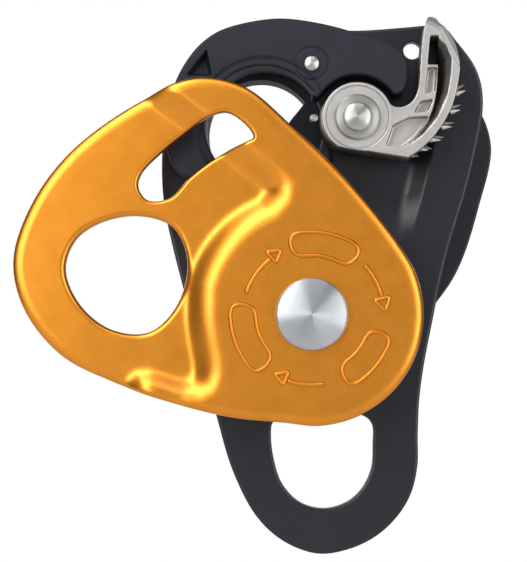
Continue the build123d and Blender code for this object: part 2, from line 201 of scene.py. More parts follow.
# ---------------------------------------------------------------- meshes
def make_object(name, verts, faces, body, sharp_angle=None):
    """A mesh object from points in millimetres about the main axle, riding on a body."""
    mesh = bpy.data.meshes.new(name)
    placed = [((x + AXLE.x) / 1000, y / 1000, (z + AXLE.z) / 1000) for x, y, z in verts]
    mesh.from_pydata(placed, [], [list(map(int, f)) for f in faces])
    mesh.validate()
    mesh.polygons.foreach_set("use_smooth", [True] * len(mesh.polygons))
    if sharp_angle:
        mesh.set_sharp_from_angle(angle=math.radians(sharp_angle))
    obj = bpy.data.objects.new(name, mesh)
    bpy.context.scene.collection.objects.link(obj)
    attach(obj, body)
    return obj


def fill(loops, holes, step, features=(), dots=None):
    """Triangles between the outer loop and the holes, with a grid of inner points. The features are loops
    that the triangles follow, and the dots are extra inner points."""
    everything = [*loops, *holes, *features]
    low, high = loops[0].min(0), loops[0].max(0)
    gx, gz = np.meshgrid(np.arange(low[0], high[0], step), np.arange(low[1], high[1], step * 0.866))
    gx[1::2] += step / 2
    grid = np.column_stack([gx.ravel(), gz.ravel()])
    keep = inside(grid, loops[0])
    for hole in holes:
        keep &= ~inside(grid, hole)
    grid = grid[keep]
    if dots is not None:
        keep = inside(dots, loops[0])
        for hole in holes:
            keep &= ~inside(dots, hole)
        dots = dots[keep]
        grid = np.vstack([apart(grid, dots, 0.5 * step), dots])
    for loop in everything:
        grid = grid[distance(grid, loop) > 0.4 * step]
    points, edges = [], []
    for loop in everything:
        first = len(points)
        points += [Vector(p) for p in loop]
        edges += [(first + i, first + (i + 1) % len(loop)) for i in range(len(loop))]
    points += [Vector(p) for p in grid]
    verts, _, faces, *_ = delaunay_2d_cdt(points, edges, [], 0, 1e-6)
    flat = np.array([tuple(v) for v in verts])
    tri = np.array([f for f in faces if len(f) == 3])
    centre = flat[tri].mean(1)
    keep = inside(centre, loops[0])
    for hole in holes:
        keep &= ~inside(centre, hole)
    return flat, tri[keep]


def facing(faces, verts, normals):
    """The faces, each wound so that it looks the way its corners' normals point."""
    out = []
    for face in faces:
        a, b, c = verts[face[0]], verts[face[1]], verts[face[2]]
        looks = np.cross(b - a, c - a) if len(face) == 3 else np.cross(c - a, verts[face[3]] - b)
        out.append(face if looks @ normals[face].sum(0) > 0 else face[::-1])
    return out


def softened(height, low, high, cell=0.25, blur=0.55):
    """The same height smoothed over a small distance, so that no crease is left where slopes meet."""
    gx, gz = np.meshgrid(np.arange(low[0], high[0], cell), np.arange(low[1], high[1], cell))
    grid = height(np.column_stack([gx.ravel(), gz.ravel()])).reshape(gx.shape)
    reach = int(3 * blur / cell)
    weight = np.exp(-0.5 * (np.arange(-reach, reach + 1) * cell / blur) ** 2)
    weight /= weight.sum()
    grid = np.pad(grid, reach, mode="edge")
    for axis in (0, 1):
        grid = np.apply_along_axis(np.convolve, axis, grid, weight, "valid")

    def sample(points):
        at = (points - low) / cell
        i = np.clip(at.astype(int), 0, (gx.shape[1] - 2, gx.shape[0] - 2))
        u, v = (at - i).T
        x, z = i.T
        lower = grid[z, x] * (1 - u) + grid[z, x + 1] * u
        upper = grid[z + 1, x] * (1 - u) + grid[z + 1, x + 1] * u
        return lower * (1 - v) + upper * v
    return sample


def slopes(height, points):
    """How fast a height changes along X and along Z."""
    e = 0.2
    dx = (height(points + (e, 0)) - height(points - (e, 0))) / (2 * e)
    dz = (height(points + (0, e)) - height(points - (0, e))) / (2 * e)
    return dx, dz


def face_normals(height, points, side):
    dx, dz = slopes(height, points)
    normal = np.column_stack([dx, -np.ones(len(points)), dz]) * (1 if side == "face" else -1)
    return normal / np.linalg.norm(normal, axis=1)[:, None]


def sheet_plate(name, body, outer, holes, face, back, edges, step=0.9, features=(), back_edges=None,
                dots=None):
    """A plate with rounded edges. face and back give y at points in X and Z. edges lists, for the outline
    and each hole, how far its rounding reaches in and down."""
    if not isinstance(edges, list):
        edges = [(edges, edges)] * (1 + len(holes))
    back_edges = back_edges or [(min(e), min(e)) for e in edges]
    rings = 5
    loops = [(outer, inward(outer, False))] + [(h, inward(h, True)) for h in holes]
    verts, normals, faces = [], [], []
    edge_rings = {}
    for side, height, sign, sizes in (("face", face, 1, edges), ("back", back, -1, back_edges)):
        for k, (loop, inwards) in enumerate(loops):
            reach, drop = sizes[k]
            for ring in range(rings):
                phi = math.pi / 2 * ring / rings
                at = loop + inwards * reach * (1 - math.cos(phi))
                y = height(at) + sign * drop * (1 - math.sin(phi))
                edge_rings[side, k, ring] = len(verts)
                verts += [(p[0], h, p[1]) for p, h in zip(at, y)]
                out = np.column_stack([-inwards[:, 0], np.zeros(len(at)), -inwards[:, 1]])
                mixed = out * math.cos(phi) / reach + face_normals(height, at, side) * math.sin(phi) / drop
                normals += list(mixed / np.linalg.norm(mixed, axis=1)[:, None])
        inset = [loop + inwards * sizes[k][0] for k, (loop, inwards) in enumerate(loops)]
        flat, tri = fill(inset[:1], inset[1:], step, features, dots)
        first = len(verts)
        verts += [(p[0], h, p[1]) for p, h in zip(flat, height(flat))]
        normals += list(face_normals(height, flat, side))
        faces += [[first + i for i in t] for t in tri]
        start = 0
        for k, (loop, _) in enumerate(loops):
            edge_rings[side, k, rings] = first + start
            start += len(loop)
    for k, (loop, _) in enumerate(loops):
        n = len(loop)
        ladder = [edge_rings["face", k, r] for r in range(rings, -1, -1)]
        ladder += [edge_rings["back", k, r] for r in range(rings + 1)]
        for a, b in zip(ladder, ladder[1:]):
            faces += [[a + i, a + (i + 1) % n, b + (i + 1) % n, b + i] for i in range(n)]
    obj = make_object(name, verts, facing(faces, np.array(verts), np.array(normals)), body)
    obj.data.normals_split_custom_set_from_vertices([tuple(n) for n in normals])
    return obj


def lathe(name, body, centre, profile, count=128, sharp_angle=35):
    """A turned piece about an axis along Y; the profile lists (radius, y)."""
    verts, faces = [], []
    angle = np.linspace(0, 2 * np.pi, count, endpoint=False)
    for r, y in profile:
        verts += [(centre[0] + r * math.cos(a), y, centre[1] + r * math.sin(a)) for a in angle]
    for k in range(len(profile) - 1):
        for i in range(count):
            j = (i + 1) % count
            faces.append([k * count + i, (k + 1) * count + i, (k + 1) * count + j, k * count + j])
    return make_object(name, verts, faces, body, sharp_angle)


def arc_points(centre, radius, start, end, count=10):
    angle = np.radians(np.linspace(start, end, count))
    return [(centre[0] + radius * math.cos(a), centre[1] + radius * math.sin(a)) for a in angle]


def dome(radius, y_seat, y_top, skirt=0.35, count=14):
    """Profile of a domed head from its seat to the middle of its top."""
    edge = y_seat + (y_top - y_seat) * skirt
    steps = [math.pi / 2 * i / count for i in range(count + 1)]
    curve = [(radius * math.cos(s) ** 0.8, edge + (y_top - edge) * math.sin(s)) for s in steps[:-1]]
    return [(radius, y_seat)] + curve + [(0.01, y_top)]


def bead(points, closed, width=1.0, height=0.45):
    """Vertices and faces of a low rounded ridge along a line on the outer face of a flange."""
    p = np.array(points, float)
    n = len(p)
    ahead = np.roll(p, -1, 0) - np.roll(p, 1, 0)
    if not closed:
        ahead[0], ahead[-1] = p[1] - p[0], p[-1] - p[-2]
    ahead /= np.linalg.norm(ahead, axis=1)[:, None]
    across = np.column_stack([-ahead[:, 1], ahead[:, 0]])
    verts, faces = [], []
    shape = [(-0.5, -0.06), (-0.36, 0.55), (-0.14, 0.95), (0.14, 0.95), (0.36, 0.55), (0.5, -0.06)]
    for s, h in shape:
        line = p + across * width * s
        verts += [(q[0], -FLANGE_OUT - height * h, q[1]) for q in line]
    last = n if closed else n - 1
    for k in range(len(shape) - 1):
        for i in range(last):
            j = (i + 1) % n
            faces.append([k * n + i, k * n + j, (k + 1) * n + j, (k + 1) * n + i])
    if not closed:
        faces.append([k * n for k in range(len(shape))])
        faces.append([k * n + n - 1 for k in range(len(shape))][::-1])
    return verts, faces


def joined(parts):
    verts, faces = [], []
    for part_verts, part_faces in parts:
        first = len(verts)
        verts += part_verts
        faces += [[first + i for i in f] for f in part_faces]
    return verts, faces


# ---------------------------------------------------------------- materials
def new_material(name):
    material = bpy.data.materials.new(name)
    material.use_nodes = True
    tree = material.node_tree
    shader = tree.nodes["Principled BSDF"]
    coords = tree.nodes.new("ShaderNodeTexCoord")
    return material, tree, shader, coords.outputs["Object"]


def noise(tree, vector, scale, detail=3.0, roughness=0.55):
    node = tree.nodes.new("ShaderNodeTexNoise")
    node.inputs["Scale"].default_value = scale
    node.inputs["Detail"].default_value = detail
    node.inputs["Roughness"].default_value = roughness
    tree.links.new(vector, node.inputs["Vector"])
    return node.outputs["Fac"]


def spread(tree, value, low, high):
    node = tree.nodes.new("ShaderNodeMapRange")
    node.inputs["From Min"].default_value = 0.3
    node.inputs["From Max"].default_value = 0.7
    node.inputs["To Min"].default_value = low
    node.inputs["To Max"].default_value = high
    tree.links.new(value, node.inputs["Value"])
    return node.outputs["Result"]


def mix_colour(tree, factor, first, second):
    node = tree.nodes.new("ShaderNodeMix")
    node.data_type = "RGBA"
    node.inputs[6].default_value = (*first, 1)
    node.inputs[7].default_value = (*second, 1)
    tree.links.new(factor, node.inputs[0])
    return node.outputs[2]


def bump(tree, height, strength, distance_m):
    node = tree.nodes.new("ShaderNodeBump")
    node.inputs["Strength"].default_value = strength
    node.inputs["Distance"].default_value = distance_m
    tree.links.new(height, node.inputs["Height"])
    return node.outputs["Normal"]


def blasted(name, first, second, metallic, rough, grain=2600, depth=0.00003, strength=0.2, shine=0.5,
            coat=0.0):
    """Even satin finish: colour that drifts a little, fine grain in bump and roughness."""
    material, tree, shader, at = new_material(name)
    tree.links.new(mix_colour(tree, spread(tree, noise(tree, at, 190), 0, 1), first, second),
                   shader.inputs["Base Color"])
    tree.links.new(spread(tree, noise(tree, at, grain, 2), rough[0], rough[1]), shader.inputs["Roughness"])
    tree.links.new(bump(tree, noise(tree, at, grain, 2), strength, depth), shader.inputs["Normal"])
    shader.inputs["Metallic"].default_value = metallic
    shader.inputs["Specular IOR Level"].default_value = shine
    shader.inputs["Coat Weight"].default_value = coat
    shader.inputs["Coat Roughness"].default_value = 0.24
    return material


def cast_metal(name, face, painted_shade, shade_start_y, shade_full_y):
    """Blasted casting with painted shade: its colour darkens towards the back, so its sides and its trough
    are painted darker than its face.
    """
    material = blasted(name, face[0], face[1], 0.92, (0.40, 0.55), 3000, 0.00005, 0.5)
    tree = material.node_tree
    shader = tree.nodes["Principled BSDF"]
    worn = shader.inputs["Base Color"].links[0].from_socket
    coords = tree.nodes.new("ShaderNodeTexCoord")
    split = tree.nodes.new("ShaderNodeSeparateXYZ")
    tree.links.new(coords.outputs["Object"], split.inputs[0])
    # painted shade: the base colour is mixed towards a dark colour with depth along Y, in place of the shade
    # on the sides and in the trough
    depth = tree.nodes.new("ShaderNodeMapRange")
    depth.interpolation_type = "SMOOTHSTEP"
    depth.inputs["From Min"].default_value = shade_start_y / 1000
    depth.inputs["From Max"].default_value = shade_full_y / 1000
    tree.links.new(split.outputs["Y"], depth.inputs["Value"])
    mixed = tree.nodes.new("ShaderNodeMix")
    mixed.data_type = "RGBA"
    mixed.inputs[7].default_value = (*painted_shade, 1)
    tree.links.new(depth.outputs["Result"], mixed.inputs[0])
    tree.links.new(worn, mixed.inputs[6])
    tree.links.new(mixed.outputs[2], shader.inputs["Base Color"])
    return material


def turned_metal(name, centre, colour, dark, rough, anisotropic=0.75, pitch=9000):
    """Lathe-turned metal: fine rings about an axis along Y."""
    material, tree, shader, at = new_material(name)
    shift = tree.nodes.new("ShaderNodeVectorMath")
    shift.operation = "SUBTRACT"
    shift.inputs[1].default_value = (centre[0], 0, centre[1])
    tree.links.new(at, shift.inputs[0])
    flatten = tree.nodes.new("ShaderNodeVectorMath")
    flatten.operation = "MULTIPLY"
    flatten.inputs[1].default_value = (1, 0, 1)
    tree.links.new(shift.outputs[0], flatten.inputs[0])
    length = tree.nodes.new("ShaderNodeVectorMath")
    length.operation = "LENGTH"
    tree.links.new(flatten.outputs[0], length.inputs[0])
    rings = tree.nodes.new("ShaderNodeTexNoise")
    rings.noise_dimensions = "1D"
    rings.inputs["Scale"].default_value = pitch
    rings.inputs["Detail"].default_value = 4
    tree.links.new(length.outputs["Value"], rings.inputs["W"])
    tree.links.new(mix_colour(tree, spread(tree, rings.outputs["Fac"], 0, 1), colour, dark),
                   shader.inputs["Base Color"])
    tree.links.new(spread(tree, rings.outputs["Fac"], rough[0], rough[1]), shader.inputs["Roughness"])
    tree.links.new(bump(tree, rings.outputs["Fac"], 0.25, 0.00002), shader.inputs["Normal"])
    tangent = tree.nodes.new("ShaderNodeTangent")
    tangent.direction_type = "RADIAL"
    tangent.axis = "Y"
    tree.links.new(tangent.outputs[0], shader.inputs["Tangent"])
    shader.inputs["Metallic"].default_value = 1.0
    shader.inputs["Anisotropic"].default_value = anisotropic
    shader.inputs["Anisotropic Rotation"].default_value = 0.25
    return material


def in_metres(x, z):
    return ((x + AXLE.x) / 1000, (z + AXLE.z) / 1000)


AXLE_AT, CAM_AT = in_metres(0, 0), in_metres(CAM.x, CAM.z)
GOLD = blasted("gold_anodised", (0.74, 0.268, 0.018), (0.67, 0.237, 0.014), 1.0, (0.31, 0.38), coat=0.4)
BLACK = blasted("black_anodised", (0.0075, 0.008, 0.012), (0.010, 0.011, 0.016), 0.0, (0.30, 0.37),
                shine=0.42)
NYLON = blasted("moulded_nylon", (0.011, 0.012, 0.018), (0.014, 0.015, 0.023), 0.0, (0.50, 0.62), 1800,
                shine=0.26)
# cast steel with painted shade: the dark colour, and the two depths where the painted shade begins and where
# it is full
CAST = cast_metal("cast_steel", ((0.47, 0.45, 0.43), (0.40, 0.38, 0.36)), (0.17, 0.155, 0.14), -11.0, -9.4)
ALUMINIUM = turned_metal("sheave_aluminium", AXLE_AT, (0.62, 0.63, 0.65), (0.50, 0.51, 0.53), (0.28, 0.40),
                         0.4)
TURNED = turned_metal("turned_steel_axle", AXLE_AT, (0.58, 0.59, 0.61), (0.44, 0.45, 0.47), (0.30, 0.40), 0.9)
TURNED_CAM = turned_metal("turned_steel_cam", CAM_AT, (0.54, 0.53, 0.50), (0.42, 0.41, 0.39), (0.30, 0.40),
                          0.8)
BEARING = blasted("bearing_steel", (0.72, 0.72, 0.74), (0.66, 0.66, 0.68), 1.0, (0.12, 0.18), 2600, 0.00001)
RUBBER = blasted("seal_rubber", (0.015, 0.015, 0.016), (0.022, 0.022, 0.023), 0.0, (0.6, 0.75), 1500)
WHITE_NYLON = blasted("washer_nylon", (0.72, 0.70, 0.64), (0.66, 0.64, 0.58), 0.0, (0.45, 0.6), 1500)
SPRING = blasted("spring_steel", (0.40, 0.40, 0.41), (0.34, 0.34, 0.35), 1.0, (0.25, 0.35))


def paint(obj, material):
    obj.data.materials.clear()
    obj.data.materials.append(material)
    return obj


# ---------------------------------------------------------------- flanges
def bend_loop():
    """Middle line of the bend of a flange, round its raised side, drawn with the flange open."""
    points = [(-35.2, 50.4), (-26.3, 43.8), (-17.2, 37.3), (-12.2, 33.0), (-9.4, 30.5), (-8.2, 28.9),
              (-8.4, 27.3), (-9.6, 25.8)]
    points += arc_points((0, 0), BEND_R, 114, 166, 24)
    points += [(-26.1, 3.8), (-26.2, 0.5), (-26.0, -2.5), (-25.5, -5.8), (-24.9, -9.0), (-24.5, -11.6),
               (-24.5, -13.6), (-25.2, -15.4), (-26.8, -16.5), (-29.2, -16.8), (-31.8, -16.2), (-34.3, -15.3),
               (-36.6, -14.8), (-38.8, -15.2), (-40.6, -17.0), (-43.0, -21.0), (-50.0, -40.0), (40.0, -40.0),
               (40.0, 70.0), (-25.0, 70.0), (-45.0, 59.0)]
    return np.array(points)


BEND_ROWS = np.concatenate([np.arange(-3.9, -1.2, 0.3), np.arange(-1.2, 2.0, 0.5), np.arange(2.1, 5.1, 0.3)])


def ramp(s, rise, full, fall, end):
    """Share of a step climbed at s: its slope grows from rise to full and dies away from fall to end."""
    def climbed(a, b):
        t = np.clip((s - a) / (b - a), 0, 1)
        return np.where(s > b, s - (a + b) / 2, (b - a) * t * t / 2)
    total = (fall + end) / 2 - (rise + full) / 2
    return (climbed(rise, full) - climbed(fall, end)) / total


def flange_height(loop, straight_way):
    """Outer face of a flange: low outside the loop, raised inside. Round the sheave the upper edge of the
    bend is wide and soft, and along the straight stretch both edges are tight."""
    def height(points):
        signed = distance(points, loop) * np.where(inside(points, loop), 1, -1)
        along = points @ np.array(straight_way)
        straight = ease((along - 30) / 12)
        rise, full = -3.3 * np.ones(len(points)), -1.5 - 0.7 * straight
        fall, end = 0.0 + 2.1 * straight, 4.6 - 1.0 * straight
        return -FLANGE_LOW - (FLANGE_OUT - FLANGE_LOW) * ramp(signed, rise, full, fall, end)
    return softened(height, (-72, -30), (52, 72))


def front_flange_rim():
    rim = [polar(FLANGE_R, a) for a in (38, 20, 0, -22, -44, -66, -86, -104)]
    rim += [(-18.0, -23.5), (-32.0, -20.1), (-46.0, -15.3), (-57.6, -9.3), (-66.1, 1.2), (-68.7, 12.5),
            (-64.2, 26.0), (-54.8, 38.2), (-38.0, 49.8), (-26.3, 54.1), (-15.4, 52.0), (-4.7, 43.2),
            (7.3, 31.5)]
    return smooth_loop(rim)


def front_flange_hole():
    return smooth_loop([(-56.6, 10.4), (-54.2, 17.2), (-48.2, 21.2), (-39.6, 22.6), (-31.9, 20.0),
                        (-28.5, 12.0),
                        (-31.0, 2.0), (-37.4, -4.1), (-46.2, -3.4), (-53.4, 2.4)])


def front_flange_slot():
    slot = [polar(42.1, a) for a in (140.5, 132, 124, 116, 110.8)]
    slot += [(-13.3, 40.3), (-14.4, 42.6), (-19.0, 46.0)]
    slot += [polar(50.8, a) for a in (116.6, 124, 132, 140.6)]
    slot += [(-39.9, 29.2), (-37.6, 26.2)]
    return smooth_loop(slot, 0.4)


def arc_frame(r_in, r_out, start, end):
    """Loop round a stretch of a ring, with round corners."""
    points = [polar(r_out, a) for a in np.linspace(start + 7, end - 7, 6)]
    points += [polar(r_out - 0.5, end - 2.5), polar((r_in + r_out) / 2 + 0.6, end),
               polar(r_in + 0.8, end - 2)]
    points += [polar(r_in, a) for a in np.linspace(end - 9, start + 9, 5)]
    points += [polar(r_in + 0.8, start + 2), polar((r_in + r_out) / 2 + 0.6, start),
               polar(r_out - 0.5, start + 2.5)]
    return smooth_loop(points, 0.35)


def emboss():
    """Arc-shaped frames and arrows that show which way the sheave turns."""
    parts = [bead(arc_frame(13.4, 18.7, 52, 107), True), bead(arc_frame(12.8, 18.5, 172, 228), True),
             bead(arc_frame(13.2, 18.6, -63, -15), True)]
    for shaft_r, start, end, tip, wings in ((15.7, 162, 127, (16.1, 115.5), ((17.5, 126), (14.3, 124.5))),
                                            (16.3, 42.5, 14, (16.7, 2.7), ((14.5, 12.4), (18.1, 12.7))),
                                            (16.0, -80, -110, (16.0, -122), ((14.1, -112), (17.3, -112)))):
        shaft = arc_points((0, 0), shaft_r, start, end, 18)
        parts.append(bead(shaft, False, 1.1))
        parts.append(bead(rounded_polygon([polar(*tip), polar(*wings[0]), polar(*wings[1])], 0.5, 0.2), True))
    return joined(parts)


def build_front_flange():
    height = flange_height(bend_loop(), polar(1, 118))
    bore = circle((0, 0), BORE_R + 0.05)
    obj = sheet_plate("front_flange_plate", "front_flange", front_flange_rim(),
                      [front_flange_hole(), front_flange_slot(), bore], height,
                      lambda p: height(p) + FLANGE_T,
                      [(2.8, 1.1), (1.3, 0.9), (0.9, 0.7), (0.2, 0.2)], 0.8,
                      dots=rows(bend_loop(), BEND_ROWS))
    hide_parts("front_flange")
    marks = make_object("front_flange_marks", *emboss(), "front_flange")
    paint(obj, GOLD)
    paint(marks, GOLD)


def build_back_flange():
    rim = [polar(FLANGE_R, a) for a in (-12, -34, -56, -78, -100, -122, -144, -165)]
    rim += [(-28.5, 3.0), (-32.2, 18.0), (-33.9, 36.0), (-31.5, 54.0), (-22.0, 65.2), (-8.0, 67.6),
            (9.0, 65.4),
            (26.0, 58.4), (40.0, 53.6), (44.9, 43.0), (41.8, 27.0), (36.0, 10.4)]
    height = flange_height(turn(bend_loop(), -CLOSING_ANGLE), polar(1, 118 - math.degrees(CLOSING_ANGLE)))
    obj = sheet_plate("back_flange_plate", "back_flange", smooth_loop(rim),
                      [circle(HOLE, HOLE_R + 0.2), circle((0, 0), BORE_R + 0.05)],
                      lambda p: -height(p) - FLANGE_T,
                      lambda p: -height(p), [(0.5, 0.5), (0.5, 0.5), (0.2, 0.2)], 0.9,
                      back_edges=[(1.8, 1.0), (1.0, 0.9), (0.2, 0.2)],
                      dots=rows(turn(bend_loop(), -CLOSING_ANGLE), BEND_ROWS))
    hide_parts("back_flange")
    paint(obj, BLACK)


# ---------------------------------------------------------------- middle plate and inserts
def plate_rim():
    return smooth_loop([(-35.6, 36.0), (-35.0, 26.0), (-33.0, 16.4), (-30.5, 6.6), (-27.6, -4.6),
                        (-24.9, -15.0),
                        (-22.5, -24.0), (-18.6, -37.0), (-12.9, -47.8), (-6.4, -53.6), (1.6, -56.4),
                        (9.2, -55.2), (15.6, -52.0), (20.6, -47.2), (23.6, -42.0), (25.1, -35.5),
                        (25.2, -28.0),
                        (25.6, -19.8), (26.7, -11.7), (28.4, -3.0), (31.7, 12.5), (38.1, 34.6), (40.9, 51.0),
                        (39.3, 58.6), (34.1, 66.0), (32.6, 67.9), (31.0, 68.7), (27.0, 69.0), (23.4, 68.7),
                        (10.4, 67.9), (-0.4, 68.6), (-8.5, 69.3), (-18.7, 67.5), (-23.3, 65.5), (-27.6, 61.7),
                        (-31.8, 54.7), (-34.7, 46.5)])


PLATE_EDGE = (0.85, 0.35)


def relief_loop():
    """Edge of the hollow that leaves room for the rope under the cam."""
    return rounded_polygon([(4.4, 17.0), (24.0, 17.0), (27.6, 31.6), (30.2, 42.6), (30.2, 45.8),
                            (4.4, 45.8)], 1.0)


def build_middle_plate():
    relief = relief_loop()

    def face(points):
        x, z = points[:, 0], points[:, 1]
        lengthwise = np.clip((z - 17.0) / 12.0, 0, 1)
        to_right = ramp(24.0 + 0.234 * (z - 17.0) - x, 0.0, 0.2, 3.2, 5.6)
        to_left = ease((x - 4.4) / 0.8)
        to_top = ease((45.8 - z) / 1.5)
        return -PLATE_HALF + 2.3 * lengthwise * to_right * to_left * to_top * inside(points, relief)

    becket = smooth_loop([(-9.6, -28.5), (-9.0, -34.0), (-7.0, -40.0), (-2.8, -44.4), (2.7, -45.9),
                          (8.0, -44.6),
                          (11.8, -41.4), (14.2, -36.4), (14.6, -30.5), (14.4, -25.9), (12.2, -23.8),
                          (2.6, -23.6),
                          (-6.8, -23.8), (-9.2, -25.6)], 0.4)
    holes = [circle(HOLE, HOLE_R), becket, circle((24.1, 63.1), 2.1, 48), circle((0, 0), BORE_R, 64),
             circle((CAM.x, CAM.z), 3.0, 48), circle(RIVET, 1.4, 32)]
    edges = [PLATE_EDGE] * 3 + [(0.3, 0.3)] * 4
    obj = sheet_plate("middle_plate_body", "frame", plate_rim(), holes, face,
                      lambda p: np.full(len(p), PLATE_HALF), edges, 0.9, [relief], back_edges=edges,
                      dots=rows(relief, np.arange(0.3, 6.0, 0.45)))
    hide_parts("middle_plate")
    paint(obj, BLACK)


def insert_rim(web):
    """Outline of an insert; the back one has a web where the front one clears the cam, and a tighter hole."""
    rim = [(-33.6, 38.0), (-33.6, 47.0), (-31.7, 54.6), (-27.5, 61.6), (-23.2, 65.4), (-18.7, 67.4),
           (-8.5, 69.2),
           (-0.4, 68.5), (10.0, 65.9), (21.0, 61.2), (22.5, 57.1), (21.4, 52.2), (19.4, 51.3)]
    if web:
        rim += [(16.6, 46.0), (14.0, 36.0), (8.0, 34.4), (-4.6, 37.3), (-5.4, 38.4), (-5.4, 45.8),
                (-5.2, 46.5),
                (-3.4, 48.8), (-1.9, 50.7)]
        hole, hole_r, start = (HOLE[0] - 0.9, HOLE[1] - 0.7), HOLE_R - 0.75, 36
    else:
        rim += arc_points((CAM.x, CAM.z), 10.2, 36, 141, 14)
        rim += [(1.4, 50.8), (0.0, 51.0)]
        hole, hole_r, start = HOLE, HOLE_R, 32
    rim += arc_points(hole, hole_r, start, 252, 36)
    rim += [(-19.0, 31.0), (-30.4, 32.6)]
    return smooth_loop(rim, 0.4)


def build_front_insert():
    pocket = rounded_polygon([(-24.4, 62.3), (-23.1, 55.7), (-29.4, 55.7)], 0.7, 0.25)
    boss_at = np.array(RIVET)

    def face(points):
        y = np.full(len(points), -INSERT_FACE)
        y = y + 2.6 * inside(points, pocket) * ease(distance(points, pocket) / 0.8)
        radius = np.linalg.norm(points - boss_at, axis=1)
        y = y + 0.35 * np.exp(-((radius - 3.85) / 0.22) ** 2)
        lip = np.linalg.norm(points - np.array(HOLE), axis=1) - HOLE_R
        return y + 0.5 * (1 - ease((lip - 1.6) / 0.8)) * (points[:, 0] < 2)

    rings = [circle(boss_at, r, 84) for r in (3.45, 3.65, 3.85, 4.05, 4.25)]
    obj = sheet_plate("front_insert_body", "frame", insert_rim(False), [circle(boss_at, 1.45, 32)], face,
                      lambda p: np.full(len(p), -PLATE_HALF), [(0.7, 0.7), (0.15, 0.15)], 0.5,
                      [pocket, *rings], dots=rows(pocket, (-0.3, 0.25, 0.5, 0.75, 1.05), 0.25))
    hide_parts("front_insert")
    paint(obj, NYLON)


def build_back_insert():
    obj = sheet_plate("back_insert_body", "frame", insert_rim(True), [circle(RIVET, 1.45, 32)],
                      lambda p: np.full(len(p), PLATE_HALF), lambda p: np.full(len(p), INSERT_FACE), 0.6, 1.0)
    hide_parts("back_insert")
    paint(obj, NYLON)


# ---------------------------------------------------------------- turned pieces
def build_axle():
    """Main axle: a nearly flat crown with a round shoulder in front, riveted over at the back."""
    seat = FLANGE_OUT + 0.1
    tip = -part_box("main_axle")[0].y * 1000
    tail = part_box("main_axle")[1].y * 1000
    crown = [(r, -tip + 0.7 * (r / 7.6) ** 2.6) for r in np.linspace(0.01, 7.6, 22)]
    shoulder = [(7.6 + 0.7 * math.sin(t), -seat - 0.4 - (tip - seat - 1.1) * math.cos(t)) for t in
                np.linspace(0.12, math.pi / 2, 9)]
    front = crown + shoulder + [(8.3, -seat)]
    back = dome(6.15, seat + 0.9, tail, 0.3)
    obj = lathe("main_axle_body", "frame", (0, 0), front + [(BORE_R, -seat), (BORE_R, seat + 0.9)] + back)
    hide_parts("main_axle")
    paint(obj, TURNED)


def build_cam_axle():
    low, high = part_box("cam_axle")[0].y * 1000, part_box("cam_axle")[1].y * 1000
    seat = low + 1.4
    front = dome(3.4, seat, low, 0.3)[::-1]
    back = dome(4.0, PLATE_HALF, high, 0.3)
    obj = lathe("cam_axle_body", "frame", (CAM.x, CAM.z), front + [(3.0, seat), (3.0, PLATE_HALF)] + back, 96)
    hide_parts("cam_axle")
    paint(obj, TURNED_CAM)


def build_sheave(side):
    """One sheave, turned inside out for the back so that its bearing lip faces the middle plate."""
    sign = -1 if side == "front" else 1
    low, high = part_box(f"{side}_sheave")
    middle, half = (low.y + high.y) * 500, (high.y - low.y) * 500
    centre_r, rim, lip, bearing_half = TREAD_R + GROOVE_R, SHEAVE_R, BEARING_R - 0.8, 4.0
    groove = [(centre_r - GROOVE_R * math.cos(t), GROOVE_R * math.sin(t))
              for t in np.linspace(-1.22, 1.22, 25)]
    profile = [(BEARING_R, -half), (rim - 0.7, -half), (rim - 0.15, -half + 0.2), (rim, -half + 0.6),
               (rim - 0.1, -6.25)] + groove
    profile += [(rim - 0.1, 6.25), (rim, half - 0.6), (rim - 0.15, half - 0.2), (rim - 0.7, half),
                (lip, half),
                (lip, bearing_half), (BEARING_R, bearing_half), (BEARING_R, -half)]
    obj = lathe(f"{side}_sheave_body", f"{side}_sheave", (0, 0),
                [(r, middle - sign * y) for r, y in profile], 144)
    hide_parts(f"{side}_sheave")
    paint(obj, ALUMINIUM)


# ---------------------------------------------------------------- cam
TROUGH_OUT = [(18.9, 18.2), (20.6, 16.8), (21.8, 13.8), (21.7, 10.4), (20.9, 5.6), (18.6, 0.2), (15.4, -3.8),
              (12.0, -6.4), (9.8, -7.3)]
TROUGH_IN = [(9.8, -7.3), (13.6, -4.4), (16.6, -0.2), (18.0, 4.2), (18.6, 10.0), (18.9, 18.2)]
TROUGH_SLOPE = 3.0


def remesh_finely(obj, softening):
    remesh = obj.modifiers.new("remesh", "REMESH")
    remesh.mode = "VOXEL"
    remesh.voxel_size = CAST_VOXEL
    soften = obj.modifiers.new("soften", "SMOOTH")
    soften.factor = 0.5
    soften.iterations = softening
    done = bpy.data.meshes.new_from_object(obj.evaluated_get(bpy.context.evaluated_depsgraph_get()))
    obj.modifiers.clear()
    obj.data = done


